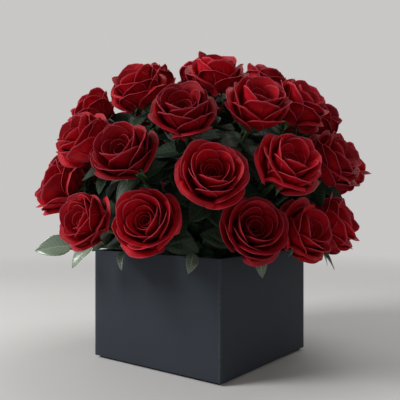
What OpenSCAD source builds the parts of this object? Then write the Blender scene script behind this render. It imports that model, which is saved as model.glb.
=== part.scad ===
// Square flower box with a lift-out arrangement of roses.
// Frame: origin at the middle of the face it stands on, +Z up, -Y is the front of the box.
// Bearings are measured in the XY plane from +X towards +Y; tilts are measured from +Z.

/* [Box] */
// Outer side of the square box
box_side = 200; // [184:1:214]
// Height from the table to the rim
box_height = 140; // [125:1:170]
// Thickness of the grey board walls and floor
board_thickness = 2.5; // [2:0.1:3.5]
// Thickness of the black covering paper
wrap_thickness = 0.4; // [0.3:0.05:0.6]
// Depth of the covering paper folded in over the rim
rim_turn_in = 22; // [12:1:40]
// Width of the covering paper folded in under the box
base_turn_in = 18; // [14:1:40]
// Radius of the upright outer corners
corner_radius = 1; // [0.6:0.1:2]

/* [Plinth] */
// Height of the shadow gap under the box
plinth_height = 3; // [2:0.5:6]
// How far the plinth stands back from the outer face
plinth_inset = 5; // [3:0.5:12]

/* [Lining and liner] */
// Thickness of the lining paper
lining_thickness = 0.3; // [0.2:0.05:0.5]
// Free space between the lining and the plastic liner
liner_clearance = 1; // [0.5:0.1:2]
// Wall of the waterproof plastic liner
liner_thickness = 1.2; // [0.8:0.1:2]
// Width of the liner's stiffening lip, which points inwards
liner_lip = 3; // [2:0.5:5]
// How far the liner's lip lies below the rim of the box
liner_drop = 4; // [2:0.5:10]
// Radius of the liner's upright corners
liner_corner = 6; // [4:0.5:12]

/* [Foam] */
// Watering gap between the foam bricks and the liner
water_gap = 11; // [8:0.5:16]
// How far the brick tops lie below the rim
foam_below_rim = 12; // [9:0.5:20]
// Side of the upper foam block
foam_block_side = 136; // [120:1:150]
// Height of the upper foam block above the rim
foam_above_rim = 45; // [36:1:55]
// Bevel round the top of the upper foam block
foam_bevel = 18; // [10:1:24]

/* [Roses] */
// Widest diameter of a full bloom
bloom_width = 74; // [68:1:80]
// Height of a bloom from its calyx to the tip
bloom_height = 52; // [46:1:56]
// Free space between two blooms, at their widest
bloom_gap = 2.5; // [1.5:0.5:8]
// Thickness of one petal shell
petal_thickness = 1.3; // [1:0.1:1.6]
// Diameter of a rose stem
stem_diameter = 5.4; // [4:0.1:5.8]

/* [Leaves] */
// Thickness of a leaf blade
leaf_thickness = 0.8; // [0.6:0.1:1.2]
// Diameter of a leaf stalk
stalk_diameter = 2; // [1.6:0.1:2.6]
// How far the stalks pass above the rim of the box
stalk_clearance = 2.5; // [1:0.5:4]
// Fold of a leaf's two halves along its midrib, in degrees
leaf_fold = 12; // [4:1:25]

/* [Hidden] */
$fn = 48;
eps = 0.01;                // overshoot of a cutting tool
golden_angle = 137.5;      // turn from one petal to the next

// --- box levels and widths, from the outside in ---
shell_bottom_z = plinth_height;
board_bottom_z = shell_bottom_z + wrap_thickness;
board_top_z = box_height - wrap_thickness;
floor_top_z = board_bottom_z + board_thickness;
lined_floor_z = floor_top_z + lining_thickness;
board_outer = box_side - 2 * wrap_thickness;
board_inner = board_outer - 2 * board_thickness;
cavity_side = board_inner - 2 * lining_thickness;
turned_side = board_inner - 2 * wrap_thickness;
clear_side = min(cavity_side, turned_side);
liner_outer = clear_side - 2 * liner_clearance;
liner_inner = liner_outer - 2 * liner_thickness;
liner_floor_z = lined_floor_z + liner_thickness;
liner_top_z = box_height - liner_drop;
plinth_side = box_side - 2 * plinth_inset;

// --- foam ---
brick_side = liner_inner - 2 * water_gap;
brick_gap = 0.4;                       // seam between the two bricks
brick_top_z = box_height - foam_below_rim;
foam_top_z = box_height + foam_above_rim;

// --- dome of blooms: an ellipsoid that passes through the middle of every bloom ---
bind_below_rim = 10;
bind_z = box_height - bind_below_rim;   // all stems point at this height on the Z axis
dome_girth_blooms = 15.6;              // blooms that would fit round the widest circle
dome_radius = dome_girth_blooms * (bloom_width + bloom_gap) / (2 * PI);
dome_half_height = 0.77 * dome_radius;
dome_centre_rise = 0.515 * dome_radius;  // from the binding point to the ellipsoid's centre
bloom_middle = 0.54 * bloom_height;      // height in a bloom that lies on the ellipsoid
stem_tip_radius = 22;                    // how near a stem's cut end comes to the binding point
stalk_start = 46;                        // the same for a leaf's stalk
stem_radius = stem_diameter / 2;

// --- calyx under each bloom ---
hip_radius = 6.2;
hip_height = 10;
seat_radius = 5;       // where the hip meets the heart of the bloom
sepal_count = 5;
sepal_reach = 15;      // from the bloom's axis to a sepal's tip
sepal_span = 36;       // degrees round the bloom
sepal_thickness = 1;
sepal_arch = 1.6;      // how high a sepal rises between the hip and its tip

// --- heart and petals of each bloom ---
heart_radius = 7;
petal_foot = 3;        // radius at which the petals join the heart
bud_clearance = 1;     // between the bud and the innermost petal

// One row of the dome per line, from the rim up: [bearing, tilt, share of the full bloom width].
rim_row = [[-101, 74, 0.93], [-72, 74, 1], [-35, 76, 1], [-11, 77, 0.97], [13, 75, 1], [38, 77, 1],
           [62, 77, 0.98], [86, 77, 1], [110, 77, 0.98], [134, 77, 1], [158, 77, 0.98], [182, 77, 1],
           [206, 77, 0.98]];
second_row = [[-128, 64, 1], [-80, 56, 1], [-50, 62, 1], [-24, 59, 1], [2, 57, 1], [25, 57, 0.96],
              [48, 58, 1], [71, 58, 0.98], [94, 58, 1], [117, 58, 0.98], [140, 58, 1], [163, 58, 0.98],
              [186, 59, 1], [209, 58, 0.96]];
third_row = [[-103, 51, 1], [-128, 38, 0.9], [-60, 44.5, 1], [-30, 41, 1], [0, 38, 1], [32, 40, 1],
             [62, 40, 1], [90, 40, 0.98], [118, 40, 1], [146, 40, 0.98], [174, 40, 1], [203, 41, 0.96]];
crown_row = [[-93, 30, 0.96], [-42, 21, 0.98], [28, 20, 1], [77, 22, 0.96], [127, 22, 1],
             [177, 23, 0.95], [226, 17, 0.94], [0, 0, 0.92]];
roses = concat(rim_row, second_row, third_row, crown_row);
rose_count = len(roses);

// Leaves that hang out over the rim: [bearing, reach of the stalk past the wall, blade length,
// blade width, blade's droop below the horizontal, roll about its midrib].
rim_leaves = [[-128, 38, 48, 28, 4, -45], [-112, 34, 34, 22, 42, -20], [-101, 20, 28, 24, 60, 15],
              [-57, 28, 26, 16, 52, -25], [-26, 24, 32, 18, 66, 10], [18, 42, 42, 26, 40, -15],
              [37, 26, 36, 22, 50, 20], [74, 30, 40, 24, 48, -15], [98, 24, 34, 22, 58, 15],
              [128, 34, 40, 24, 44, -20], [146, 26, 34, 22, 56, 15], [171, 30, 40, 24, 50, -10],
              [194, 24, 34, 22, 60, 20], [218, 36, 44, 26, 30, -15]];

function rose_name(i) = str("rose_", i < 9 ? "0" : "", i + 1);

// Distance from the binding point to the dome ellipsoid, along a line with this tilt.
function dome_distance(tilt) =
    let (across = pow(sin(tilt) / dome_radius, 2) + pow(cos(tilt) / dome_half_height, 2),
         along = -2 * cos(tilt) * dome_centre_rise / pow(dome_half_height, 2),
         off = pow(dome_centre_rise / dome_half_height, 2) - 1)
    (-along + sqrt(along * along - 4 * across * off)) / (2 * across);

// Distance from the binding point to the base of a bloom.
function bloom_base(rose) = dome_distance(rose[1]) - bloom_middle * rose[2];

// Puts children on a line from the binding point, at a distance along it.
module along_line(bearing, tilt, distance) {
    translate([0, 0, bind_z]) rotate([0, tilt, bearing]) translate([0, 0, distance]) children();
}

module square_block(side, height) {
    translate([-side / 2, -side / 2, 0]) cube([side, side, height]);
}

// Square block with rounded upright edges.
module rounded_block(side, height, radius) {
    inner = side - 2 * radius;
    linear_extrude(height) union() {
        square([inner, side], center = true);
        square([side, inner], center = true);
        for (x = [-1, 1], y = [-1, 1]) translate([x, y] * inner / 2) circle(radius);
    }
}

// ---------- box ----------

module plinth_board() {
    color("#131416") square_block(plinth_side, plinth_height);
}

module base_board() {
    color("#8a857c") translate([0, 0, board_bottom_z]) square_block(board_inner, board_thickness);
}

// A wall that runs the full width of the box; turns place it at the front or the back.
module long_wall(turn) {
    color("#8a857c") rotate(turn)
        translate([-board_outer / 2, -board_outer / 2, board_bottom_z])
            cube([board_outer, board_thickness, board_top_z - board_bottom_z]);
}

// A wall that fits between the two long walls.
module short_wall(turn) {
    color("#8a857c") rotate(turn)
        translate([board_inner / 2, -board_inner / 2, board_bottom_z])
            cube([board_thickness, board_inner, board_top_z - board_bottom_z]);
}

// Covering paper: up the outside, over the rim, down inside, and under the edge of the base.
module outer_wrap() {
    color("#26282c") difference() {
        translate([0, 0, shell_bottom_z])
            rounded_block(box_side, box_height - shell_bottom_z, corner_radius);
        translate([0, 0, board_bottom_z]) square_block(board_outer, board_top_z - board_bottom_z);
        translate([0, 0, board_top_z - eps]) square_block(turned_side, wrap_thickness + 2 * eps);
        translate([0, 0, shell_bottom_z - eps])
            square_block(box_side - 2 * base_turn_in, wrap_thickness + 2 * eps);
    }
    color("#26282c") difference() {
        translate([0, 0, board_top_z - rim_turn_in]) square_block(board_inner, rim_turn_in);
        translate([0, 0, board_top_z - rim_turn_in - eps])
            square_block(turned_side, rim_turn_in + 2 * eps);
    }
}

// Lining paper: covers the base board and the walls up to the folded-in edge of the wrap.
module inner_lining() {
    color("#1d1e20") difference() {
        translate([0, 0, floor_top_z])
            square_block(board_inner, board_top_z - rim_turn_in - floor_top_z);
        translate([0, 0, lined_floor_z]) square_block(cavity_side, box_height);
    }
}

// ---------- lift-out liner and foam ----------

module liner() {
    lip_inner = liner_inner - 2 * liner_lip;
    color("#3a3d40") difference() {
        translate([0, 0, lined_floor_z])
            rounded_block(liner_outer, liner_top_z - lined_floor_z, liner_corner);
        translate([0, 0, liner_floor_z])
            rounded_block(liner_inner, liner_top_z - liner_thickness - liner_floor_z,
                          liner_corner - liner_thickness);
        translate([0, 0, liner_top_z - 2 * liner_thickness])
            rounded_block(lip_inner, 3 * liner_thickness, liner_corner - liner_thickness);
    }
}

// Two foam bricks that stand side by side in the liner.
module foam_bricks() {
    brick_width = (brick_side - brick_gap) / 2;
    color("#3f5a3c") for (left = [-brick_side / 2, brick_gap / 2])
        translate([left, -brick_side / 2, liner_floor_z])
            cube([brick_width, brick_side, brick_top_z - liner_floor_z]);
}

// The upper block with a bevelled top, drilled where each rose stem is pushed in.
module foam_block() {
    bevel_z = foam_top_z - foam_bevel;
    half = foam_block_side / 2;
    color("#4a6a45") difference() {
        intersection() {
            translate([0, 0, brick_top_z]) square_block(foam_block_side, foam_top_z - brick_top_z);
            for (turn = [0, 90]) rotate(turn) bevelled_bar(half, bevel_z);
        }
        for (rose = roses) stem_channel(rose);
        for (leaf = rim_leaves) leaf_channel(leaf);
    }
}

// A bar as long as the block, whose two top edges are cut at 45 degrees.
module bevelled_bar(half, bevel_z) {
    translate([0, half, 0]) rotate([90, 0, 0]) linear_extrude(2 * half)
        polygon([[-half, brick_top_z], [half, brick_top_z], [half, bevel_z],
                 [half - foam_bevel, foam_top_z], [-half + foam_bevel, foam_top_z], [-half, bevel_z]]);
}

// The channel is turned a quarter, so that the seam of its round wall runs along its side and
// doesn't meet the block's top where the wall does.
module stem_channel(rose) {
    along_line(rose[0], rose[1], stem_tip_radius)
        rotate(90) cylinder(h = foam_block_side, r = stem_radius);
}

// ---------- roses ----------

// Points along a petal's middle line, from the heart out and up to its rim. The curl is how far
// its sweep goes: at 90 degrees the rim is its widest place, and past that the rim bends in.
petal_steps = 5;
function petal_line(widest, foot_z, rim_z, curl) =
    [for (i = [0:petal_steps]) let (share = i / petal_steps)
        [petal_foot + (widest - petal_foot) * sin(curl * share),
         foot_z + (rim_z - foot_z) * (1 - cos(90 * share))]];

// One petal: a cup-shaped shell that spans part of a turn.
module petal(widest, foot_z, rim_z, curl, span, turn) {
    inside = petal_line(widest - petal_thickness, foot_z + petal_thickness, rim_z, curl);
    outside = petal_line(widest, foot_z, rim_z, curl);
    rotate(turn - span / 2) rotate_extrude(angle = span)
        polygon(concat(outside, [for (i = [petal_steps:-1:0]) inside[i]]));
}

// Solid heart of a bloom: the seat of the petals and the rolled bud in the middle.
module bloom_heart(height, bud_radius) {
    rotate_extrude()
        polygon([[0, 0], [seat_radius, 0], [heart_radius, 0.08 * height], [heart_radius, 0.2 * height],
                 [seat_radius, 0.3 * height], [bud_radius, 0.5 * height], [bud_radius, 0.77 * height],
                 [bud_radius * 0.7, 0.94 * height], [bud_radius * 0.25, height], [0, 0.96 * height]]);
}

// Hip and sepals under a bloom, from the top of the stem up to the heart.
module calyx() {
    translate([0, 0, -hip_height]) {
        rotate_extrude()
            polygon([[0, 0], [stem_radius, 0], [hip_radius, 0.4 * hip_height],
                     [hip_radius, 0.8 * hip_height], [seat_radius, hip_height], [0, hip_height]]);
        for (k = [0:sepal_count - 1]) rotate(k * 360 / sepal_count) sepal();
    }
}

// A narrow shell that leaves the hip and bends back under the bloom.
module sepal() {
    foot_z = 0.6 * hip_height;
    middle = (seat_radius + sepal_reach) / 2;
    rotate_extrude(angle = sepal_span)
        polygon([[seat_radius, foot_z + sepal_thickness], [middle, foot_z + sepal_arch + sepal_thickness],
                 [sepal_reach, foot_z + sepal_thickness], [sepal_reach, foot_z],
                 [middle, foot_z + sepal_arch], [seat_radius, foot_z]]);
}

petal_count = 11;
petal_span = 122;
bud_share = 0.11;      // the bud's radius as a share of the bloom's width

// A full bloom: petals set a golden angle apart, each wider, lower and more open than the last.
module bloom(width, height) {
    bud_radius = bud_share * width;
    first = bud_radius + petal_thickness + bud_clearance;
    union() {
        calyx();
        bloom_heart(height, bud_radius);
        for (i = [0:petal_count - 1]) {
            openness = i / (petal_count - 1);
            petal(widest = first + (width / 2 - first) * pow(openness, 0.6),
                  foot_z = height * (0.23 - 0.19 * openness),
                  rim_z = height * (0.97 - 0.34 * pow(openness, 1.3)),
                  curl = 112 - 22 * openness,
                  span = petal_span,
                  turn = golden_angle * i);
        }
    }
}

module rose(i) {
    rose = roses[i];
    color(i % 3 == 0 ? "#7d0e1c" : i % 3 == 1 ? "#8c1120" : "#6f0c18")
        along_line(rose[0], rose[1], bloom_base(rose))
            rotate(i * golden_angle) bloom(bloom_width * rose[2], bloom_height * rose[2]);
}

// Stem of one rose, from the cut end in the foam up to the hip.
module stem(rose) {
    along_line(rose[0], rose[1], stem_tip_radius)
        cylinder(h = bloom_base(rose) - hip_height - stem_tip_radius, r = stem_radius);
}

module stems() {
    color("#37552f") for (rose = roses) stem(rose);
}

// ---------- leaves ----------

// Lens-shaped blade, folded along its midrib, with its base at the origin and its tip along +X.
module leaf_blade(length, width) {
    radius = (length * length + width * width) / (4 * width);
    for (side = [-1, 1]) rotate([side * leaf_fold, 0, 0]) intersection() {
        translate([length / 2, side * (width / 2 - radius), 0])
            cylinder(h = leaf_thickness, r = radius, center = true, $fn = 96);
        translate([0, side * width / 2, 0]) cube([2 * length, width, leaf_thickness], center = true);
    }
}

// The stalk's tilt, so that it just clears the rim of the box on this bearing.
function wall_distance(bearing) = box_side / 2 / max(abs(cos(bearing)), abs(sin(bearing)));
function stalk_tilt(bearing) =
    atan2(wall_distance(bearing), box_height - bind_z + stalk_clearance + stalk_diameter / 2);

module rim_leaf(leaf) {
    tilt = stalk_tilt(leaf[0]);
    stalk_end = (wall_distance(leaf[0]) + leaf[1]) / sin(tilt);
    along_line(leaf[0], tilt, stalk_start) cylinder(h = stalk_end - stalk_start, r = stalk_diameter / 2);
    along_line(leaf[0], tilt, stalk_end - stalk_diameter)
        rotate([0, leaf[4] - tilt, 0]) rotate([leaf[5], 0, 0]) leaf_blade(leaf[2], leaf[3]);
}

module leaf_channel(leaf) {
    along_line(leaf[0], stalk_tilt(leaf[0]), stalk_start)
        cylinder(h = foam_block_side, r = stalk_diameter / 2);
}

module leaves() {
    color("#2e4a2a") for (leaf = rim_leaves) rim_leaf(leaf);
}

plinth_board();
base_board();
long_wall(0);  // wall_front
long_wall(180);  // wall_back
short_wall(180);  // wall_left
short_wall(0);  // wall_right
outer_wrap();
inner_lining();
liner();
foam_bricks();
foam_block();
stems();
leaves();
for (i = [0:rose_count - 1])
    rose(i);
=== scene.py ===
import math
import bpy
import numpy as np
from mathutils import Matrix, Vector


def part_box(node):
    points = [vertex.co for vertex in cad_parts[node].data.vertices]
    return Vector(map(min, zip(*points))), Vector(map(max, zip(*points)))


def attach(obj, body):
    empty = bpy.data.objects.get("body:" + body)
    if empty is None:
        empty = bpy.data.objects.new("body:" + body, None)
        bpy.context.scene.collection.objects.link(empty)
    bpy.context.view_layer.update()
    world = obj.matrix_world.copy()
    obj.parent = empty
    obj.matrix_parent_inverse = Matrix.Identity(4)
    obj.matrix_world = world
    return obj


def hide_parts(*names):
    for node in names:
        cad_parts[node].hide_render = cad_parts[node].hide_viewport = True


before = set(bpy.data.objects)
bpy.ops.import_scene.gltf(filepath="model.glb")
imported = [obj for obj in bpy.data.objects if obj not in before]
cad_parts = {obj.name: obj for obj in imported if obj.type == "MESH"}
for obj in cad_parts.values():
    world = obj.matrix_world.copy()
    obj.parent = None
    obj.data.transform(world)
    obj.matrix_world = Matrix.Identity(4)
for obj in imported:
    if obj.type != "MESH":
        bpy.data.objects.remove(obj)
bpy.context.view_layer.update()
print("frame loaded:", len(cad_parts), "nodes")

mm = 0.001
goldenAngle = math.radians(137.5)


def linear(hexColour):  # sRGB hex to linear red, green, blue and alpha
    parts = [int(hexColour[i:i + 2], 16) / 255 for i in (1, 3, 5)]
    return [p / 12.92 if p <= 0.04045 else ((p + 0.055) / 1.055) ** 2.4 for p in parts] + [1.0]


def addNode(tree, kind, sockets=None, **settings):  # one node, its settings, its values and its links
    node = tree.nodes.new("ShaderNode" + kind)
    for key, value in settings.items():
        setattr(node, key, value)
    for key, value in (sockets or {}).items():
        if isinstance(value, bpy.types.NodeSocket):
            tree.links.new(value, node.inputs[key])
        else:
            node.inputs[key].default_value = value
    return node


def newMaterial(name):  # an empty node material, its tree and the object's own coordinates
    material = bpy.data.materials.new(name)
    material.use_nodes = True
    material.node_tree.nodes.clear()
    return material, material.node_tree, addNode(material.node_tree, "TexCoord").outputs["Object"]


def combined(tree, operation, *values):  # one number from others
    return addNode(tree, "Math", dict(enumerate(values)), operation=operation).outputs[0]


def noise(tree, where, scale, detail, roughness=0.5):  # cloudy noise with `scale` patches to the metre
    return addNode(tree, "TexNoise", {"Vector": where, "Scale": scale, "Detail": detail,
                                      "Roughness": roughness}).outputs["Fac"]


def ranged(tree, value, low, high, toLow=0.0, toHigh=1.0):  # low to high becomes toLow to toHigh, clamped
    return addNode(tree, "MapRange", {"Value": value, "From Min": low, "From Max": high,
                                      "To Min": toLow, "To Max": toHigh}).outputs[0]


def mixed(tree, share, low, high):  # the colour between low and high, by share
    return addNode(tree, "Mix", {0: share, 6: low, 7: high}, data_type="RGBA").outputs[2]


def finishSkin(material, tree, colour, roughness, gloss, height, strength, depth, more=None, invert=False):
    # the shader over a relief, whose height is a pattern and whose depth is in metres
    relief = addNode(tree, "Bump", {"Height": height, "Strength": strength, "Distance": depth},
                     invert=invert)
    shader = addNode(tree, "BsdfPrincipled", {
        "Base Color": colour, "Roughness": roughness, "Specular IOR Level": gloss,
        "Normal": relief.outputs["Normal"], **(more or {})})
    addNode(tree, "OutputMaterial", {"Surface": shader.outputs[0]})
    return material


def surfacePlace(tree):  # the surface's own map, how far a place is from its midline, and along it
    surface = addNode(tree, "UVMap", uv_map="surface").outputs["UV"]
    part = addNode(tree, "SeparateXYZ", {0: surface})
    centred = combined(tree, "SUBTRACT", part.outputs["X"], 0.5)
    return surface, combined(tree, "ABSOLUTE", centred), part.outputs["Y"]


def smooth(x):  # 0 below 0, 1 above 1, and 3x^2 - 2x^3 between
    x = np.clip(x, 0, 1)
    return x * x * (3 - 2 * x)


def gridFaces(count, rows, columns, wrapRows=False, wrapColumns=False):
    # quads of `count` grids of rows x columns points, each joined to itself where it wraps
    r = np.arange(rows if wrapRows else rows - 1)
    c = np.arange(columns if wrapColumns else columns - 1)
    r, c = np.meshgrid(r, c, indexing="ij")
    r2, c2 = (r + 1) % rows, (c + 1) % columns
    one = np.stack([r * columns + c, r2 * columns + c, r2 * columns + c2, r * columns + c2], -1)
    one = one.reshape(-1, 4)
    return (one[None] + np.arange(count)[:, None, None] * rows * columns).reshape(-1, 4)


def buildMesh(name, points, faces, uv=None, attributes=None, materials=()):
    # a smooth-shaded object at the origin from arrays of points and faces; uv is per point
    mesh = bpy.data.meshes.new(name)
    mesh.from_pydata(points.reshape(-1, 3).tolist(), [], faces.tolist())
    mesh.polygons.foreach_set("use_smooth", np.ones(len(mesh.polygons), dtype=bool))
    if uv is not None:
        corner = np.empty(len(mesh.loops), dtype=np.int32)
        mesh.loops.foreach_get("vertex_index", corner)
        layer = mesh.uv_layers.new(name="surface")
        layer.data.foreach_set("uv", uv.reshape(-1, 2)[corner].astype(np.float32).ravel())
    for key, values in (attributes or {}).items():
        data = mesh.attributes.new(key, "FLOAT", "POINT")
        data.data.foreach_set("value", np.asarray(values, dtype=np.float32).ravel())
    mesh.validate()
    mesh.update()
    piece = bpy.data.objects.new(name, mesh)
    bpy.context.scene.collection.objects.link(piece)
    for material in materials:
        mesh.materials.append(material)
    return piece


def paint(node, material):  # a CAD node keeps its shape and takes a new material
    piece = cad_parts[node]
    piece.data.materials.clear()
    piece.data.materials.append(material)


# a level camera that looks at the near corner of the box; place in metres, bearing in degrees
cameraSettings = {"place": (0.4507, -0.6005, 0.1989), "bearing": 37.1, "lens": 50.4, "sensor": 36,
                  "shiftY": 0.0118}

camera = bpy.data.objects.new("camera", bpy.data.cameras.new("camera"))
camera.location = cameraSettings["place"]
camera.rotation_euler = (math.radians(90), 0, math.radians(cameraSettings["bearing"]))
camera.data.lens = cameraSettings["lens"]
camera.data.sensor_width = cameraSettings["sensor"]
camera.data.shift_y = cameraSettings["shiftY"]
bpy.context.scene.collection.objects.link(camera)
bpy.context.scene.camera = camera
print("camera placed")


def blackBoxPaper():
    # Uncoated black cover paper, calendered: dull charcoal with a felt of short fibres, and it
    # rubs to a paler grey along the folds
    material, tree, spot = newMaterial("blackCoverPaperCalendered")
    fibre = noise(tree, spot, 900, 4, 0.65)   # 1.1 mm
    cloud = noise(tree, spot, 22, 3)          # 45 mm patches
    rub = noise(tree, spot, 260, 5, 0.7)      # 4 mm
    fold = addNode(tree, "Attribute", attribute_name="fold").outputs["Fac"]
    body = mixed(tree, cloud, linear("#2a2f36"), linear("#343a42"))
    grain = mixed(tree, 0.35, body, mixed(tree, fibre, body, linear("#42474e")))
    worn = ranged(tree, combined(tree, "MULTIPLY", fold, rub), 0.34, 0.62, 0.0, 0.35)
    return finishSkin(material, tree, mixed(tree, worn, grain, linear("#54575b")),
                      ranged(tree, cloud, 0.0, 1.0, 0.5, 0.64), 0.12, fibre, 0.25, 0.00012)


def plainStock(name, dark, light, grainSize, roughness, depth, gloss=0.3):
    # one solid stock with a grain: the grain's size is in metres, and it mottles colour and relief
    material, tree, spot = newMaterial(name)
    grain = noise(tree, spot, 1 / grainSize, 5, 0.7)
    broad = noise(tree, spot, 0.08 / grainSize, 2)
    share = ranged(tree, combined(tree, "MULTIPLY", grain, broad), 0.12, 0.4)
    return finishSkin(material, tree, mixed(tree, share, linear(dark), linear(light)), roughness, gloss,
                      grain, 0.5, depth)


def soakedFoam():
    # Phenolic floral foam, cast in bricks and soaked: dark green, with open cells about 1.5 mm
    # across drawn as pits whose hollows are darkened by painted shade, and a wet gloss between them
    material, tree, spot = newMaterial("floralFoamSoaked")
    cells = addNode(tree, "TexVoronoi", {"Vector": spot, "Scale": 650}, feature="F1")
    pitReliefAndShade = ranged(tree, cells.outputs["Distance"], 0.1, 0.6)
    body = mixed(tree, noise(tree, spot, 60, 4), linear("#1f3a25"), linear("#34573a"))
    # painted shade: each cell's hollow is darker
    return finishSkin(material, tree, mixed(tree, pitReliefAndShade, linear("#13241a"), body), 0.5, 0.5, pitReliefAndShade, 0.8,
                      0.0006)


coverPaper = blackBoxPaper()
greyBoard = plainStock("greyBoardPressed", "#6f6a61", "#9a948a", 0.0012, 0.9, 0.0002)
blackCard = plainStock("blackCardPressed", "#141517", "#212226", 0.0010, 0.85, 0.0001)
liningPaper = plainStock("blackLiningPaperRolled", "#1a1b1e", "#26272b", 0.0008, 0.7, 0.0001)
linerPlastic = plainStock("greyPolypropyleneMoulded", "#2c2f33", "#3a3e42", 0.0015, 0.38, 0.00006, 0.5)
foam = soakedFoam()
paint("plinth_board", blackCard)
for node in ("base_board", "wall_front", "wall_back", "wall_left", "wall_right"):
    paint(node, greyBoard)
paint("inner_lining", liningPaper)
paint("liner", linerPlastic)
paint("foam_bricks", foam)
paint("foam_block", foam)

# the covering paper
wrapSettings = {
    "corner": 1.3 * mm,      # radius of the upright corners
    "fold": 0.9 * mm,        # radius over the rim and under the base
    "paper": 0.4 * mm,
    "board": 2.5 * mm,
    "turnIn": 22 * mm,       # folded down inside the rim
    "turnUnder": 18 * mm,    # folded in under the base
    "bow": 0.35 * mm,        # the walls stand proud in the middle
    "lap": 14 * mm,          # the paper laps itself on the back face, at the right corner
    "lapRise": 0.3 * mm,
    "leastRadius": 0.25 * mm,
    "lapStep": 0.0012,       # the lap's edge rises over twice this share of a side
    "rubbed": 0.8 * mm,      # how far the wear reaches from a fold
    "cornerRubbed": 1.2 * mm,
    "turnSteps": 6,
    "riseSteps": 26,
    "sideSteps": 26,
    "cornerSteps": 6,
}


def wrapBox(settings):
    # A closed paper profile carried round a square path with round corners. A profile point is
    # (inset from the outer face, height); the path point at inset d lies on a square of half-side
    # h - d whose corners have radius max(corner - d, a little).
    low, high = (np.array(c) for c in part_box("outer_wrap"))
    half, bottom, top = high[0], low[2], high[2]
    f, p = settings["fold"], settings["paper"]
    inner = 2 * p + settings["board"]
    turn = np.linspace(0, math.pi / 2, settings["turnSteps"])
    hem = [(settings["turnUnder"] * k, bottom) for k in (1, 0.6, 0.3)]
    foot = [(f * (1 - math.sin(a)), bottom + f * (1 - math.cos(a))) for a in turn]
    rise = [(0, bottom + f + (top - bottom - 2 * f) * k)
            for k in np.linspace(0, 1, settings["riseSteps"])[1:-1]]
    rim = [(f * (1 - math.cos(a)), top - f * (1 - math.sin(a))) for a in turn]
    lip = [(inner - f * (1 - math.sin(a)), top - f * (1 - math.cos(a))) for a in turn]
    inside = [(inner, top - settings["turnIn"] * k) for k in (0.3, 0.6, 1)]
    back = [(inner - p, top - settings["turnIn"]), (inner - p, top - p), (p, top - p), (p, bottom + p),
            (settings["turnUnder"], bottom + p)]
    profile = np.array(hem + foot + rise + rim + lip + inside + back)
    inset, height = profile[:, 0][:, None], profile[:, 1][:, None]

    # the path: for each side its corner arc, then its straight run, as (side, arc angle, run share)
    arc = np.linspace(-math.pi / 4, math.pi / 4, settings["cornerSteps"])
    run = np.linspace(0, 1, settings["sideSteps"])[1:-1]
    lapShare = 1 - settings["lap"] / (2 * half)
    run = np.sort(np.concatenate([run, [lapShare - settings["lapStep"], lapShare + settings["lapStep"]]]))
    side = np.repeat(np.arange(4), len(arc) + len(run))
    angle = np.tile(np.concatenate([arc, np.full(len(run), math.pi / 4)]), 4)
    share = np.tile(np.concatenate([np.zeros(len(arc)), run]), 4)
    radius = np.maximum(settings["corner"] - inset, settings["leastRadius"])
    centre = half - inset - radius
    x = centre + radius * np.cos(angle + math.pi / 4)[None]   # corner at +x, +y, then along -x
    y = centre + radius * np.sin(angle + math.pi / 4)[None]
    x = np.where(share[None] > 0, centre - 2 * centre * share[None], x)
    y = np.where(share[None] > 0, centre + radius, y)
    outside = (inset < p * 0.5) & (height > bottom + f * 0.5)
    level = np.clip((height - bottom) / (top - bottom), 0, 1)
    bow = settings["bow"] * np.sin(math.pi * share)[None] * np.sin(math.pi * level) * outside
    lapped = (side[None] == 0) & (share[None] < 1 - lapShare) & outside
    y = y + bow + settings["lapRise"] * lapped
    turnAngle = side * math.pi / 2
    px = x * np.cos(turnAngle) - y * np.sin(turnAngle)
    py = x * np.sin(turnAngle) + y * np.cos(turnAngle)
    points = np.stack([px, py, np.broadcast_to(height, px.shape)], -1)
    # how near each point is to a fold: the rim, the base edge and the upright corners
    rubbed = settings["rubbed"]
    nearRim = np.exp(-np.abs(height - top) / rubbed) + np.exp(-np.abs(height - bottom) / rubbed)
    nearCorner = np.exp(-np.minimum(share, 1 - share)[None] * 2 * half / settings["cornerRubbed"])
    fold = np.clip(nearRim + nearCorner * outside, 0, 1)
    faces = gridFaces(1, len(profile), points.shape[1], wrapRows=True, wrapColumns=True)[:, ::-1]
    piece = buildMesh("coverPaperWrap", points, faces, attributes={"fold": fold}, materials=[coverPaper])
    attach(piece, "box")
    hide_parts("outer_wrap")
    return piece


wrapBox(wrapSettings)
print("box covered")

# where the blooms are, read from the frame
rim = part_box("outer_wrap")[1][2]
bindPoint = np.array([0, 0, rim - 10 * mm])   # every stem points here

leanSettings = {
    "level": 58,          # the tilt, in degrees, at which a bloom leans neither way
    "share": 0.30,        # how much of the way to that tilt it leans
    "most": 8,            # degrees
    "spread": 2.5,        # degrees of chance
    "middle": 28 * mm,    # it leans about this point over its base
    "hipLength": 10 * mm,
    "seed": 5,
}


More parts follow.
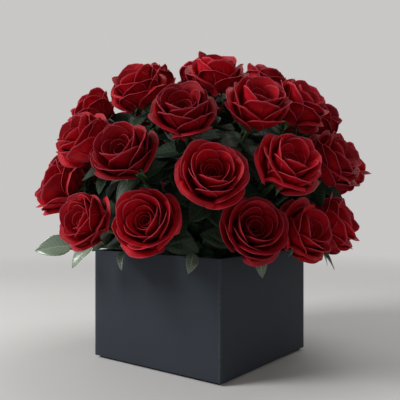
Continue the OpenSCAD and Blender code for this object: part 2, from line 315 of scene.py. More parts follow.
def readBloom(name, number, settings):
    # A rose node's foot is the mean of its lowest points along its line from the binding point,
    # and its radius and height are its farthest reach across and along that line. The bloom then
    # leans about its middle, towards one common tilt: the upper ones nod and the lowest look up.
    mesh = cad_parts[name].data
    points = np.empty(len(mesh.vertices) * 3)
    mesh.vertices.foreach_get("co", points)
    points = points.reshape(-1, 3) - bindPoint
    axis = points.mean(0) / np.linalg.norm(points.mean(0))
    for _ in range(3):
        along = points @ axis
        foot = points[along < along.min() + 0.08 * mm].mean(0)
        axis = foot / np.linalg.norm(foot)
    along = points @ axis
    across = np.linalg.norm(points - along[:, None] * axis, axis=1)
    tilt = math.degrees(math.acos(min(axis[2], 1)))
    rng = np.random.default_rng(settings["seed"] + number)
    lean = np.clip(settings["share"] * (settings["level"] - tilt), -settings["most"], settings["most"])
    lean = math.radians(lean + rng.normal(0, settings["spread"]))
    outward = np.array([axis[0], axis[1], 0]) + np.array([1e-4, 0, 0])
    down = np.cross(np.cross(axis, outward), axis)
    down = down / np.linalg.norm(down)
    sideways = np.cross(axis, down) * math.radians(rng.normal(0, settings["spread"]))
    face = axis * math.cos(lean) + down * math.sin(lean) + sideways
    face = face / np.linalg.norm(face)
    base = along.min() + settings["hipLength"]
    return {"name": name, "axis": axis, "face": face, "base": base, "radius": across.max(),
            "shift": settings["middle"] * (axis - face), "height": along.max() - base}


roseNames = [name for name in sorted(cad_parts) if name.startswith("rose_")]
blooms = [readBloom(name, number, leanSettings) for number, name in enumerate(roseNames, 1)]
print("blooms read:", len(blooms), "radius", round(blooms[0]["radius"], 4))


def alongAxis(axis, spin=0.0):  # rows: two directions across the axis, turned by spin, and the axis
    across = np.cross([0, 0, 1.0], axis)
    across = across / np.linalg.norm(across) if np.linalg.norm(across) > 1e-6 else np.array([1.0, 0, 0])
    other = np.cross(axis, across)
    c, s = math.cos(spin), math.sin(spin)
    return np.stack([across * c + other * s, other * c - across * s, axis])


# the rose petals
petalSettings = {
    # knots of openness, from the bud in the middle (0) to the outermost petal (1), and what each
    # petal measures there, in mm for a bloom of radius 37 and height 52
    "knot":      [0.00, 0.14, 0.30, 0.40, 0.55, 0.70, 0.85, 1.00],
    "rimRadius": [1.8, 5.5, 10.5, 16.5, 21.5, 27.0, 32.4, 36.2],
    "rimHeight": [27.0, 31.0, 36.5, 48.0, 48.5, 43.5, 36.0, 26.0],
    "footRadius": [0.8, 1.4, 2.2, 2.8, 3.2, 3.4, 3.6, 3.8],
    "footHeight": [13.0, 11.0, 9.0, 8.0, 6.5, 5.0, 3.5, 2.0],
    "lowPull":   [0.60, 0.70, 0.80, 0.84, 0.85, 0.83, 0.78, 0.70],  # how far out it has gone low down
    "lowRise":   [9.0, 7.0, 4.0, 2.0, 1.0, 0.5, 0.0, 0.0],
    "belly":     [1.30, 1.28, 1.22, 1.12, 1.03, 0.95, 0.88, 0.80],  # belly radius as a share of the rim's
    "bellyRise": [0.55, 0.55, 0.58, 0.60, 0.62, 0.62, 0.62, 0.60],
    "halfSpan":  [2.80, 2.00, 1.45, 1.20, 1.10, 1.02, 0.96, 0.90],  # radians either side of the middle
    "tuck":      [0.7, 1.0, 1.3, 1.5, 1.5, 1.5, 1.4, 1.2],          # one edge lies in, the other out
    "rollOut":   [0.2, 0.6, 1.2, 1.8, 2.8, 3.4, 3.4, 2.4],
    "rollDown":  [0.0, 0.3, 0.8, 1.8, 3.2, 4.4, 5.4, 6.5],
    "point":     [0.00, 0.00, 0.01, 0.02, 0.03, 0.05, 0.06, 0.07],
    "wave":      [0.2, 0.4, 0.6, 0.8, 0.9, 1.1, 1.4, 1.9],
    "count": 29,
    "groups": [(0, 8, 11, 10), (8, 13, 15, 13), (13, 29, 19, 15)],  # first, last, points across, along
    "thickness": 0.45 * mm,
    "full": (37.0, 52.0),
    "seed": 41,
}


def petalSurface(settings, openness, phase, jitter, across, along):
    # A petal is swept round the bloom's axis. u runs across it from -1 to 1 and v from foot to
    # rim, both closer together near the margin. Its side view is a cubic curve foot, low pull,
    # belly, rim, read up to v times an outline that falls away towards the sides; u turns it
    # round the axis by up to the half span; then its margin is rolled outwards and down, one edge
    # is tucked in, and a wave runs along the rim.
    u = np.sin(np.linspace(-1, 1, across) * math.pi / 2)[None, :, None]
    v = (1 - (1 - np.linspace(0, 1, along)) ** 1.5)[None, None, :]
    known = {key: np.interp(openness, settings["knot"], settings[key])[:, None, None]
             for key in ("rimRadius", "rimHeight", "footRadius", "footHeight", "lowPull", "lowRise",
                         "belly", "bellyRise", "halfSpan", "tuck", "rollOut", "rollDown", "point",
                         "wave")}
    a, b, c, d, e = (jitter[:, i][:, None, None] for i in range(5))
    rimRadius = known["rimRadius"] * (1 + 0.02 * a)
    rimHeight = known["rimHeight"] + 1.5 * b
    outline = 1 - (0.30 + 0.05 * c) * np.abs(u) ** 2.8 + known["point"] * np.exp(-(u / 0.16) ** 2)
    q = v * outline
    k0, k1, k2, k3 = (1 - q) ** 3, 3 * q * (1 - q) ** 2, 3 * q * q * (1 - q), q ** 3
    lowRadius = known["footRadius"] + known["lowPull"] * (rimRadius - known["footRadius"])
    bellyHeight = known["footHeight"] + known["bellyRise"] * (rimHeight - known["footHeight"])
    radius = (k0 * known["footRadius"] + k1 * lowRadius + k2 * known["belly"] * rimRadius + k3 * rimRadius)
    height = (k0 * known["footHeight"] + k1 * (known["footHeight"] + known["lowRise"])
              + k2 * bellyHeight + k3 * rimHeight)
    top = smooth((v - 0.70) / 0.30)
    edge = smooth((np.abs(u) - 0.70) / 0.30) * smooth(v / 0.5)
    margin = 1 - (1 - top) * (1 - 0.8 * edge)
    radius = radius + known["rollOut"] * (1 + 0.35 * d) * margin ** 1.5
    height = height - known["rollDown"] * (1 + 0.35 * e) * margin ** 2.3
    radius = radius + known["tuck"] * u * smooth(v / 0.35)
    ripple = known["wave"] * v ** 2 * (np.sin(3.1 * u + 5 * a) + 0.5 * np.sin(6.3 * u + 7 * b))
    radius = radius + ripple * 0.6
    height = height + ripple * 0.5
    spread = (0.40 + 0.60 * smooth(v / 0.6)) * (1 - 0.10 * top * u ** 2)
    turn = phase[:, None, None] + u * known["halfSpan"] * spread
    points = np.stack([radius * np.cos(turn), radius * np.sin(turn), height], -1)
    uv = np.stack(np.broadcast_arrays(u * 0.5 + 0.5, v + 0 * openness[:, None, None]), -1)
    return points, uv


def rosePetalSkin(name, shadeAndVeinColour, body, bright, edge):
    # Rose petal: a soft skin of tiny cone-shaped cells, so it looks like velvet. Painted shade makes it
    # nearly black-red at the foot; it is saturated in the middle, and a painted highlight turns it dusty
    # pink where the margin rolls over; fine veins fan from foot to rim
    material, tree, spot = newMaterial(name)
    surface, sideways, upwards = surfacePlace(tree)
    fan = addNode(tree, "Mapping", {"Vector": surface, "Scale": (46, 2.2, 1)})   # veins 1 mm apart
    veins = noise(tree, fan.outputs[0], 1.0, 3, 0.6)
    mottle = noise(tree, spot, 110, 3)   # 9 mm clouds
    tone = addNode(tree, "Attribute", attribute_name="tone").outputs["Fac"]
    openness = addNode(tree, "Attribute", attribute_name="openness").outputs["Fac"]
    # painted shade: each petal darkens towards its foot
    low = mixed(tree, ranged(tree, upwards, 0.1, 0.75), linear(shadeAndVeinColour), linear(body))
    lively = ranged(tree, combined(tree, "MULTIPLY", mottle, tone), 0.15, 0.6)
    middle = mixed(tree, lively, low, linear(bright))
    veined = mixed(tree, ranged(tree, veins, 0.35, 0.75, 0.0, 0.45), middle, linear(shadeAndVeinColour))
    margin = combined(tree, "MAXIMUM", ranged(tree, upwards, 0.93, 1.0),
                      ranged(tree, sideways, 0.44, 0.5, 0.0, 0.6))
    raggedRimHighlight = combined(tree, "MULTIPLY", margin, ranged(tree, veins, 0.0, 1.0, 0.45, 0.85))
    # painted shade darkens the bud, which keeps a red margin; the open petals show the pale margin, a
    # painted highlight
    paintedRimHighlight = combined(tree, "MULTIPLY", raggedRimHighlight, ranged(tree, openness, 0.1, 0.65, 0.12, 1.0))
    paintedCentreShade = mixed(tree, ranged(tree, openness, 0.0, 0.35, 0.62, 0.0), veined, linear(shadeAndVeinColour))
    return finishSkin(material, tree, mixed(tree, paintedRimHighlight, paintedCentreShade, linear(edge)), 0.55, 0.18, veins, 0.35,
                      0.0003, {"Sheen Weight": 0.06, "Sheen Roughness": 0.35,
                               "Sheen Tint": linear("#d83a52")})


# colours of each skin: painted shade (also the veins' colour), body, bright, and the margin's painted
# highlight
petalSkins = [
    rosePetalSkin("rosePetalCrimson", "#1f0104", "#8a0412", "#c90a1f", "#c2485b"),
    rosePetalSkin("rosePetalDeepRed", "#240105", "#940513", "#d20c22", "#c94e61"),
    rosePetalSkin("rosePetalDarkRed", "#1a0103", "#7a0310", "#b0081b", "#b33e53"),
]


stemRadius = 2.6 * mm
calyxSettings = {"hipRadius": 6.0 * mm, "hipLength": leanSettings["hipLength"], "stem": stemRadius,
                 "sepals": 5, "length": 20 * mm, "width": 7 * mm,
                 "hipPoints": (14, 8), "sepalPoints": (5, 9)}   # round or across, along


def calyxSurface(settings, rng):
    # The hip is turned round the bloom's axis, its radius a sine of its length. A sepal leaves it
    # at a bearing of its own, widens as a sine, narrows to a point, and arches up before it
    # bends back down.
    sides, rings = settings["hipPoints"]
    across, along = settings["sepalPoints"]
    turn = np.linspace(0, 2 * math.pi, sides, endpoint=False)
    k = np.linspace(0, 1, rings)[:, None]
    radius = settings["stem"] + (settings["hipRadius"] - settings["stem"]) * np.sin(k * math.pi * 0.66)
    height = -settings["hipLength"] * (1 - k) + 0 * turn
    hip = np.stack([radius * np.cos(turn), radius * np.sin(turn), height], -1).reshape(-1, 3)
    u = np.linspace(-1, 1, across)[None, :, None]
    v = np.linspace(0, 1, along)[None, None, :]
    count = settings["sepals"]
    spin = (np.arange(count) * 2 * math.pi / count + rng.normal(0, 0.1, count))[:, None, None]
    bend = rng.uniform(0.7, 1.3, count)[:, None, None]
    wide = settings["width"] / 2 * np.sin(math.pi * np.clip(v * 0.9 + 0.1, 0, 1)) ** 0.8 * (1 - 0.5 * v)
    out = settings["hipRadius"] * 0.7 + settings["length"] * np.sin(v * 1.25) * 0.8
    up = -2 * mm + settings["length"] * (0.20 * np.sin(v * 3.0) - 0.42 * bend * v ** 2.2)
    up = up + 0.25 * wide * (1 - u ** 2)
    x = out * np.cos(spin) - u * wide * np.sin(spin)
    y = out * np.sin(spin) + u * wide * np.cos(spin)
    sepals = np.stack([x, y, up + 0 * x], -1).reshape(-1, 3)
    faces = np.concatenate([gridFaces(1, rings, sides, wrapColumns=True)[:, ::-1],
                            gridFaces(count, across, along) + len(hip)])
    return np.concatenate([hip, sepals]), faces


def roseStemSkin():
    # Rose stem and calyx: smooth waxy bark, mid green with a red flush on the side that sees the sun
    material, tree, spot = newMaterial("roseStemWaxyBark")
    flush = noise(tree, spot, 45, 3)    # 22 mm patches
    grain = noise(tree, spot, 500, 3)   # 2 mm specks
    body = mixed(tree, grain, linear("#2c4423"), linear("#4d6b3a"))
    red = ranged(tree, flush, 0.55, 0.75, 0.0, 0.55)
    return finishSkin(material, tree, mixed(tree, red, body, linear("#5b2a22")), 0.42, 0.45, grain, 0.3,
                      0.0002)


stemSkin = roseStemSkin()


def buildBloom(number, bloom, settings):
    # Petals follow each other round the axis by the golden angle, a little irregularly, with the
    # openness rising evenly from the bud out; the whole is scaled to the bloom's radius and height
    # and turned to its face.
    rng = np.random.default_rng(settings["seed"] + 13 * number)
    count = settings["count"]
    openness = np.arange(count) / (count - 1)
    phase = np.arange(count) * goldenAngle + rng.normal(0, 0.16, count)
    jitter = np.clip(rng.normal(0, 1, (count, 5)), -1.8, 1.8)
    tone = rng.uniform(0.6, 1.3, count)
    scaleAcross = bloom["radius"] / settings["full"][0]   # metres to one of the settings' mm
    scaleAlong = bloom["height"] / settings["full"][1]
    allPoints, allUv, allFaces, allTone, allOpen, start = [], [], [], [], [], 0
    for first, last, across, along in settings["groups"]:
        points, uv = petalSurface(settings, openness[first:last], phase[first:last], jitter[first:last],
                                  across, along)
        allPoints.append(points.reshape(-1, 3) * [scaleAcross, scaleAcross, scaleAlong])
        allUv.append(uv.reshape(-1, 2))
        allTone.append(np.repeat(tone[first:last], across * along))
        allOpen.append(np.repeat(openness[first:last], across * along))
        allFaces.append(gridFaces(last - first, across, along) + start)
        start += (last - first) * across * along
    petalFaces = sum(len(f) for f in allFaces)
    points, faces = calyxSurface(calyxSettings, rng)
    allPoints.append(points)
    allUv.append(np.full((len(points), 2), 0.5))
    allTone.append(np.ones(len(points)))
    allOpen.append(np.ones(len(points)))
    allFaces.append(faces + start)
    rows = alongAxis(bloom["face"], number * goldenAngle)
    points = np.concatenate(allPoints) @ rows + bindPoint + bloom["axis"] * bloom["base"] + bloom["shift"]
    piece = buildMesh("bloom%02d" % number, points, np.concatenate(allFaces), np.concatenate(allUv),
                      {"tone": np.concatenate(allTone), "openness": np.concatenate(allOpen)},
                      [petalSkins[(number - 1) % 3], stemSkin])
    skin = np.zeros(len(piece.data.polygons), dtype=np.int32)
    skin[petalFaces:] = 1
    piece.data.polygons.foreach_set("material_index", skin)
    shell = piece.modifiers.new("petalThickness", "SOLIDIFY")
    shell.thickness = settings["thickness"]
    shell.offset = 0
    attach(piece, "arrangement")
    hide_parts(bloom["name"])


for number, bloom in enumerate(blooms, 1):
    buildBloom(number, bloom, petalSettings)
print("blooms built:", len(blooms), "with", petalSettings["count"], "petals each")

# the stems
stemSettings = {
    "radius": stemRadius, "swell": 0.4 * mm, "nodeGap": 38 * mm,   # it swells at its nodes
    "cutEnd": 22 * mm, "foamEdge": 100 * mm,   # where it starts and leaves the foam, from the binding point
    "neck": 45 * mm, "bow": 2.0 * mm,
    "thorns": 5, "thornLength": 3.2 * mm, "thornHook": 1.6 * mm, "thornHalf": (1.1 * mm, 1.9 * mm),
    "thornSides": 6, "sides": 12, "rings": 34, "seed": 7,
}


def buildStems(settings):
    # A stem is a round tube along its line, a little thicker at its nodes by a bell curve; outside
    # the foam it bows by half a sine, and its neck bends to the foot of the leaning bloom. A
    # thorn is a flattened cone on the bark that points back down the stem.
    rng = np.random.default_rng(settings["seed"])
    turn = np.linspace(0, 2 * math.pi, settings["sides"], endpoint=False)
    corners = settings["thornSides"]
    cone = np.linspace(0, 2 * math.pi, corners, endpoint=False)
    wide, tall = settings["thornHalf"]
    points, faces, start = [], [], 0
    for bloom in blooms:
        rows = alongAxis(bloom["axis"], rng.uniform(0, 6.3))
        total = bloom["base"] - calyxSettings["hipLength"] + 1 * mm
        length = np.linspace(settings["cutEnd"], total, settings["rings"])
        along = (length / settings["nodeGap"]) % 1.0
        radius = settings["radius"] + settings["swell"] * np.exp(-((along - 0.5) / 0.06) ** 2)
        length = np.concatenate([[length[0]], length, [length[-1]]])
        radius = np.concatenate([[1e-5], radius, [1e-5]])
        bowed = settings["bow"] * np.sin(math.pi * np.clip((length - settings["foamEdge"])
                                                         / (total - settings["foamEdge"]), 0, 1))
        neck = smooth((length - total + settings["neck"]) / settings["neck"])
        hipShift = bloom["shift"] + calyxSettings["hipLength"] * (bloom["axis"] - bloom["face"])
        centre = bindPoint + length[:, None] * rows[2] + bowed[:, None] * rows[0] + neck[:, None] * hipShift
        ring = radius[:, None, None] * (np.cos(turn)[:, None] * rows[0] + np.sin(turn)[:, None] * rows[1])
        points.append((centre[:, None] + ring).reshape(-1, 3))
        faces.append(gridFaces(1, len(length), len(turn), wrapColumns=True)[:, ::-1] + start)
        start += len(points[-1])
        for _ in range(settings["thorns"]):
            step = rng.integers(settings["rings"] // 2, settings["rings"] - 2)
            where = rng.uniform(0, 2 * math.pi)
            out = rows[0] * math.cos(where) + rows[1] * math.sin(where)
            side = np.cross(rows[2], out)
            foot = (centre[step] + out * settings["radius"] * 0.8 + wide * np.cos(cone)[:, None] * side
                    + tall * np.sin(cone)[:, None] * rows[2])
            tip = (centre[step] + out * (settings["radius"] + settings["thornLength"])
                   - rows[2] * settings["thornHook"])
            points.append(np.concatenate([foot, np.repeat(tip[None], corners, 0)]))
            faces.append(gridFaces(1, 2, corners, wrapColumns=True)[:, ::-1] + start)
            start += 2 * corners
    piece = buildMesh("roseStems", np.concatenate(points), np.concatenate(faces), materials=[stemSkin])
    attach(piece, "arrangement")
    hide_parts("stems")


buildStems(stemSettings)
print("stems built")

# the leaves
leafSettings = {
    # bearing, reach past the wall, blade length, width, droop, roll, in mm and degrees
    "rim": [(-129, 43, 47, 31, 6, -62), (-117, 40, 36, 22, 44, -28), (-101, 20, 28, 24, 60, 15),
            (-57, 28, 26, 16, 52, -25), (-26, 24, 32, 18, 66, 10), (18, 42, 42, 26, 40, -15),
            (37, 26, 36, 22, 50, 20), (74, 30, 40, 24, 48, -15), (98, 24, 34, 22, 58, 15),
            (128, 34, 40, 24, 44, -20), (146, 26, 34, 22, 56, 15), (171, 30, 40, 24, 50, -10),
            (194, 24, 34, 22, 60, 20), (218, 32, 42, 26, 12, -15)],
    "stalk": 1.0 * mm, "stalkStart": 46 * mm, "stalkClearance": 3.5 * mm, "stalkPoints": (8, 12),
    "rimThickness": 0.4 * mm, "underThickness": 0.35 * mm,
    # painted highlight on the first leaves, at the front left corner, by a high tone
    "paintedHighlightLeaves": 2, "tones": (2.4, 0.6),   # the first leaves, at the front left corner, are paler
    "startShare": 0.7,     # how much of its droop a blade has where it starts
    "curl": (0.55, 14),    # it curls by this share of the droop and this many degrees more
    "fold": 0.32,          # how far it folds along its midrib, in radians
    "teeth": 17, "points": (19, 27), "underPoints": (5, 9), "underTeeth": 4,
    # leaves on every stem: depth under the bloom, length, in mm, and radians away from the stem
    "under": [(11, 42, 1.35), (14, 40, 1.20), (19, 42, 1.30), (24, 40, 1.25), (30, 42, 1.35),
              (36, 38, 1.20), (42, 38, 1.30), (49, 38, 1.20), (56, 36, 1.25), (64, 36, 1.10),
              (73, 34, 1.10), (84, 34, 1.10)],
    "shorter": (0.8, 0.7),  # a leaf that would cut into a bloom is drawn in by these shares in turn
    "lowest": 1 * mm,       # no stem leaf comes lower than this over the rim
    "underWidth": (0.60, 0.80), "underTone": (0.4, 1.3),   # width as a share of the length
    "bends": (0.2, 0.7), "folds": (0.15, 0.4),             # radians
    "collar": 60, "collarRise": (25, 50), "collarHeight": (2, 16),   # degrees, mm over the rim
    "collarLength": (36, 44), "collarWidth": (26, 32),               # mm
    "gapWidth": 0.7, "gapBend": 0.35, "gapFold": 0.2, "seed": 23,
    # leaves that close the widest gaps: rose, depth under its bloom and length in mm, then
    # bearing, rise and roll in degrees
    "gap": [(42, 20, 46, -145, 6, -99), (19, 30, 46, 25, -17, 91), (14, 42, 43, 43, 64, 93),
            (2, 30, 43, -92, -21, 85), (46, 60, 46, 128, 54, -81), (29, 12, 46, 3, 30, 84),
            (33, 30, 45, -62, -19, 47), (40, 20, 46, 13, 38, -64), (3, 30, 36, -2, -24, 85),
            (18, 13, 38, 8, -57, -81), (30, 20, 46, -18, -59, -59), (25, 60, 46, 173, 80, 7),
            (41, 20, 30, 89, 41, -32), (30, 20, 30, -90, 3, 85)],
}


def roseLeafSkin(name, dark, light, vein, wax):
    # Rose leaf: thick waxy blade, mottled from dark green to dull silver-green; a high tone makes the
    # silver-green a painted highlight. It has a paler midrib and side veins about 4 mm apart that run out
    # to the teeth; wax, from 0 to 1, makes it glossier
    material, tree, spot = newMaterial(name)
    _, off, upwards = surfacePlace(tree)
    slant = combined(tree, "MULTIPLY_ADD", off, -0.42, upwards)
    ridge = combined(tree, "COSINE", combined(tree, "MULTIPLY", slant, 56.0))   # nine veins a side
    veins = combined(tree, "MAXIMUM", ranged(tree, ridge, 0.86, 1.0), ranged(tree, off, 0.035, 0.01))
    mottle = noise(tree, spot, 160, 4)   # 6 mm clouds
    tone = addNode(tree, "Attribute", attribute_name="tone").outputs["Fac"]
    body = mixed(tree, combined(tree, "MULTIPLY", mottle, tone), linear(dark), linear(light))
    colour = mixed(tree, combined(tree, "MULTIPLY", veins, 0.7), body, linear(vein))
    return finishSkin(material, tree, colour, 0.62 - 0.32 * wax, 0.15 + 0.35 * wax, veins, 0.6, 0.0004,
                      {"Coat Weight": 0.4 * wax, "Coat Roughness": 0.22}, invert=True)


def leafBlades(base, heading, normal, length, width, curl, fold, across, along, teeth):
    # Blades as a batch. u runs across from -1 to 1 and v along the midrib, which bends down by
    # curl; the half width is a sine of v drawn towards the tip, cut by small forward teeth; the
    # two halves fold up from the midrib and the margin ripples a little.
    side = np.cross(normal, heading)
    u = np.linspace(-1, 1, across)[None, :, None]
    v = np.linspace(0, 1, along)[None, None, :]
    long, wide, bend, vee = (np.asarray(x)[:, None, None] for x in (length, width, curl, fold))
    saw = (v * teeth) % 1.0
    half = wide / 2 * np.sin(math.pi * v ** 0.82) ** 0.75 * (1 - 0.12 * v)   # widest below the middle
    half = half * (1 + 0.05 * saw * np.abs(u) ** 4)
    bent = np.maximum(bend, 1e-3)
    x = long * (np.sin(bend * v) / bent) + 0 * u
    y = u * half * np.cos(vee)
    z = -long * (1 - np.cos(bend * v)) / bent + np.abs(u) * half * np.sin(vee)
    z = z + 0.025 * wide * np.sin(9 * v + 3 * u) * np.abs(u)         # the margin's ripple
    body = (base[:, None, None] + x[..., None] * heading[:, None, None] + y[..., None] * side[:, None, None]
            + z[..., None] * normal[:, None, None])
    uv = np.stack(np.broadcast_arrays(u * 0.5 + 0.5, v + 0 * long), -1)
    return body, uv


def touchesBloom(points):
    # Which blades have a point inside a bloom, taken as a bowl about its face axis that widens as
    # the square root of the height over its base, up to 0.45 of the bloom's height, with 1.5 mm to
    # spare. It is approximate: a leaf may still run in among the outer petals
    hit = np.zeros(len(points), dtype=bool)
    flat = points.reshape(len(points), -1, 3)
    for bloom in blooms:
        away = flat - (bindPoint + bloom["axis"] * bloom["base"] + bloom["shift"])
        height = away @ bloom["face"]
        across = np.linalg.norm(away - height[..., None] * bloom["face"], axis=-1)
        bowl = bloom["radius"] * np.sqrt(np.clip(height / (0.45 * bloom["height"]), 0.03, 1)) + 1.5 * mm
        hit |= ((height > 0) & (height < bloom["height"]) & (across < bowl)).any(1)
    return hit


def directions(bearing, rise):  # unit vectors for bearings and rises above the horizontal, in radians
    return np.stack([np.cos(rise) * np.cos(bearing), np.cos(rise) * np.sin(bearing), np.sin(rise)], -1)


def finishLeaves(name, body, uv, tone, material, thickness):
    # one piece of all the blades, given their thickness downwards from the top grid
    count, across, along = body.shape[:3]
    piece = buildMesh(name, body, gridFaces(count, across, along)[:, ::-1], uv,
                      {"tone": np.repeat(tone, across * along)}, [material])
    shell = piece.modifiers.new("bladeThickness", "SOLIDIFY")
    shell.thickness = thickness
    shell.offset = -1
    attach(piece, "arrangement")
    return piece


def rimLeaves(settings):
    # A stalk runs from the foam just over the rim; its rise is the arctangent of that height over
    # the way to the wall, and its blade starts at the reach, droops from it and is rolled about
    # its own midrib.
    plain = np.array(settings["rim"], dtype=float)
    rows = np.radians(plain)
    bearing = rows[:, 0]
    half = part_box("wall_front")[1][0]
    wall = half / np.maximum(np.abs(np.cos(bearing)), np.abs(np.sin(bearing)))
    rise = np.arctan2(rim - bindPoint[2] + settings["stalkClearance"], wall)
    reach = (wall + plain[:, 1] * mm) / np.cos(rise)
    stalkWay = directions(bearing, rise)
    base = bindPoint + stalkWay * (reach - 2 * mm)[:, None]
    droop = rows[:, 4]
    heading = directions(bearing, -droop * settings["startShare"])
    flat = np.stack([-np.sin(bearing), np.cos(bearing), 0 * bearing], -1)
    normal = np.cross(heading, flat)
    roll = rows[:, 5][:, None]
    normal = normal * np.cos(roll) + np.cross(heading, normal) * np.sin(roll)
    curl = np.radians(plain[:, 4] * settings["curl"][0] + settings["curl"][1])
    fold = np.full(len(rows), settings["fold"])
    body, uv = leafBlades(base, heading, normal, plain[:, 2] * mm, plain[:, 3] * mm, curl, fold,
                          *settings["points"], settings["teeth"])
    # painted highlight: the first leaves take a high tone, which turns them pale silver-green
    tone = np.where(np.arange(len(rows)) < settings["paintedHighlightLeaves"], *settings["tones"])
    piece = finishLeaves("rimLeaves", body, uv, tone,
                         roseLeafSkin("roseLeafWaxy", "#2a3d2a", "#788c76", "#a0b09a", 1.0),
                         settings["rimThickness"])
    # stalks: round rods from the foam to each blade
    sides, rings = settings["stalkPoints"]
    turn = np.linspace(0, 2 * math.pi, sides, endpoint=False)
    t = np.linspace(0, 1, rings)
    flatSide = np.cross(stalkWay, flat)
    place = settings["stalkStart"] + t[None] * (reach - settings["stalkStart"])[:, None]
    width = settings["stalk"] * (1 - 0.25 * t)
    width = np.concatenate([[1e-5], width[1:-1], [1e-5]])
    ring = (flat[:, None, None] * np.cos(turn)[None, None, :, None]
            + flatSide[:, None, None] * np.sin(turn)[None, None, :, None])
    rods = bindPoint + stalkWay[:, None, None] * place[:, :, None, None] + ring * width[None, :, None, None]
    stalks = buildMesh("leafStalks", rods, gridFaces(len(rows), rings, sides, wrapColumns=True),
                       materials=[stemSkin])
    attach(stalks, "arrangement")
    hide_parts("leaves")


def stemLeaves(settings):
    # Leaves left on the stems under the blooms, which fill the gaps between them, and a collar
    # of leaves pushed into the sides of the foam, which hides it above the rim; all of them are darker,
    # duller leaves as painted shade. A stem leaf points away from its stem at the angle spread; a collar
    # leaf points out and up; a gap leaf lies as its row says. Leaves that would cut deep into a bloom are
    # drawn in, then left out.
    rng = np.random.default_rng(settings["seed"])
    under = np.array(settings["under"], dtype=float)
    n = len(under)
    axes = np.repeat(np.array([b["axis"] for b in blooms]), n, 0)
    total = np.repeat(np.array([b["base"] for b in blooms]), n)
    many = len(total)
    depth, length, spread = np.tile(under, (len(blooms), 1)).T
    place = total - (depth + rng.uniform(-3, 5, many)) * mm
    spread = (spread + rng.uniform(-0.15, 0.15, many))[:, None]
    around = (rng.uniform(0, 2 * math.pi, many) + np.tile(np.arange(n), len(blooms)) * 2.1)[:, None]
    across = np.cross(axes, [0.1, 0.2, 1.0])
    across /= np.linalg.norm(across, axis=1)[:, None]
    other = np.cross(axes, across)
    outward = across * np.cos(around) + other * np.sin(around)
    heading = axes * np.cos(spread) + outward * np.sin(spread)
    normal = axes * np.sin(spread) - outward * np.cos(spread)
    base = bindPoint + axes * place[:, None] + outward * 2 * mm
    length = (length + rng.uniform(-4, 5, many)) * mm
    width = length * rng.uniform(*settings["underWidth"], many)
    count = settings["collar"]
    bearing = np.arange(count) * 2 * math.pi / count + rng.uniform(-0.1, 0.1, count)
    rise = np.radians(rng.uniform(*settings["collarRise"], count))
    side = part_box("foam_block")[1][0] / np.maximum(np.abs(np.cos(bearing)), np.abs(np.sin(bearing)))
    low = np.stack([side * np.cos(bearing), side * np.sin(bearing),
                    rim + rng.uniform(*settings["collarHeight"], count) * mm], -1)
    base = np.concatenate([base, low])
    heading = np.concatenate([heading, directions(bearing, rise)])
    normal = np.concatenate([normal, directions(bearing + math.pi, math.pi / 2 - rise)])
    length = np.concatenate([length, rng.uniform(*settings["collarLength"], count) * mm])
    width = np.concatenate([width, rng.uniform(*settings["collarWidth"], count) * mm])
    many = many + count
    bend, fold = rng.uniform(*settings["bends"], many), rng.uniform(*settings["folds"], many)
    rows = np.array(settings["gap"], dtype=float)
    stem = [blooms[int(number) - 1] for number in rows[:, 0]]
    way = np.array([b["axis"] for b in stem])
    bearing, rise, roll = np.radians(rows[:, 3:]).T
    gapHeading = directions(bearing, rise)
    upper = directions(bearing, rise + math.pi / 2)
    level = np.cross(gapHeading, upper)
    gapPlace = np.array([b["base"] for b in stem]) - rows[:, 1] * mm
    base = np.concatenate([base, bindPoint + way * gapPlace[:, None]])
    heading = np.concatenate([heading, gapHeading])
    normal = np.concatenate([normal, upper * np.cos(roll)[:, None] + level * np.sin(roll)[:, None]])
    length = np.concatenate([length, rows[:, 2] * mm])
    width = np.concatenate([width, rows[:, 2] * settings["gapWidth"] * mm])
    bend = np.concatenate([bend, np.full(len(rows), settings["gapBend"])])
    fold = np.concatenate([fold, np.full(len(rows), settings["gapFold"])])
    many = many + len(rows)
    shape = (*settings["underPoints"], settings["underTeeth"])
    body, uv = leafBlades(base, heading, normal, length, width, bend, fold, *shape)
    for share in settings["shorter"]:
        size = np.where(touchesBloom(body), share, 1.0)
        length, width = length * size, width * size
        body, uv = leafBlades(base, heading, normal, length, width, bend, fold, *shape)
    flat = body.reshape(many, -1, 3)
    hangs = (flat[..., 2] < rim + settings["lowest"]).any(1)   # the rim's own leaves do the hanging
    clear = ~touchesBloom(body) & ~hangs
    print("stem leaves kept:", int(clear.sum()), "of", many)
    body, uv, many = body[clear], uv[clear], int(clear.sum())
    # the darker, duller skin of these leaves is painted shade
    finishLeaves("stemLeaves", body, uv, rng.uniform(*settings["underTone"], many),
                 roseLeafSkin("roseLeafShaded", "#16241a", "#283c26", "#3c4f38", 0.15),
                 settings["underThickness"])


rimLeaves(leafSettings)
stemLeaves(leafSettings)
print("leaves built")

# floor, lamps and background; places and sizes in metres, power in watts
studioSettings = {"floor": "#d9d8d6", "background": "#dddcda", "world": 0.30, "shown": 0.8,
                  "floorHalf": 6, "aim": (0, 0, 0.2),
                  "fade": (0.55, 1.7),   # metres from the box at which the floor starts and ends to fade
                  "key": {"place": (-1.0, -1.45, 1.25), "size": 0.8, "power": 34},
                  "fill": {"place": (1.6, -0.7, 0.8), "size": 1.2, "power": 1.5},
                  "top": {"place": (0.1, 0.6, 1.7), "size": 1.2, "power": 9}}


def seenDirectly(tree):  # 1 for camera and glossy rays, 0 for the rest
    path = addNode(tree, "LightPath")
    return combined(tree, "MAXIMUM", path.outputs["Is Camera Ray"], path.outputs["Is Glossy Ray"])


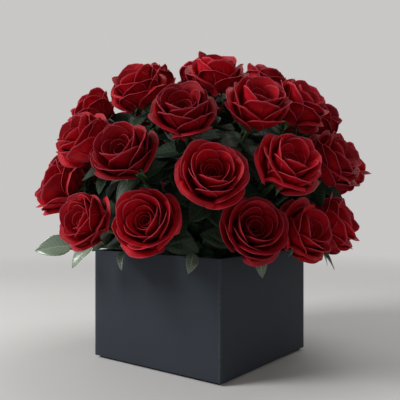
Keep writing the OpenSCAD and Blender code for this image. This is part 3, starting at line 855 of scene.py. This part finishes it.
def studio(settings):
    # a pale floor that fades into the background's colour by a smooth step of the distance from
    # the box, an even sky, and three soft square lamps that face the middle of the object
    material, tree, spot = newMaterial("paleStudioFloor")
    background = linear(settings["background"])
    colour = mixed(tree, noise(tree, spot, 3, 2), linear(settings["floor"]), background)
    shader = addNode(tree, "BsdfPrincipled", {"Base Color": colour, "Roughness": 0.7,
                                              "Specular IOR Level": 0.2})
    # past the fade the eye sees the background's own colour, so the floor has no far edge
    away = addNode(tree, "VectorMath", {0: spot}, operation="LENGTH")
    share = addNode(tree, "MapRange", {"Value": away.outputs["Value"], "From Min": settings["fade"][0],
                                       "From Max": settings["fade"][1]}, interpolation_type="SMOOTHSTEP")
    faded = combined(tree, "MULTIPLY", share.outputs[0], seenDirectly(tree))
    glow = addNode(tree, "Emission", {"Color": background, "Strength": settings["shown"]})
    both = addNode(tree, "MixShader", {0: faded, 1: shader.outputs[0], 2: glow.outputs[0]})
    addNode(tree, "OutputMaterial", {"Surface": both.outputs[0]})
    far = settings["floorHalf"]
    corners = np.array([[-far, -far, 0], [far, -far, 0], [far, far, 0], [-far, far, 0]], dtype=float)
    floor = buildMesh("studioFloor", corners, np.array([[0, 1, 2, 3]]), materials=[material])
    world = bpy.data.worlds.new("studio")
    bpy.context.scene.world = world
    world.use_nodes = True
    tree = world.node_tree
    tree.nodes.clear()
    strength = ranged(tree, seenDirectly(tree), 0.0, 1.0, settings["world"], settings["shown"])
    sky = addNode(tree, "Background", {"Color": background, "Strength": strength})
    addNode(tree, "OutputWorld", {"Surface": sky.outputs[0]})
    for name in ("key", "fill", "top"):
        lamp = bpy.data.lights.new(name, "AREA")
        lamp.size = settings[name]["size"]
        lamp.energy = settings[name]["power"]
        light = bpy.data.objects.new(name, lamp)
        place = np.array(settings[name]["place"])
        light.location = place
        away = place - np.array(settings["aim"])
        light.rotation_euler = (math.atan2(math.hypot(away[0], away[1]), away[2]), 0,
                                math.atan2(away[0], -away[1]))
        bpy.context.scene.collection.objects.link(light)
    bpy.context.scene.view_settings.view_transform = "Standard"


studio(studioSettings)
print("studio lit")
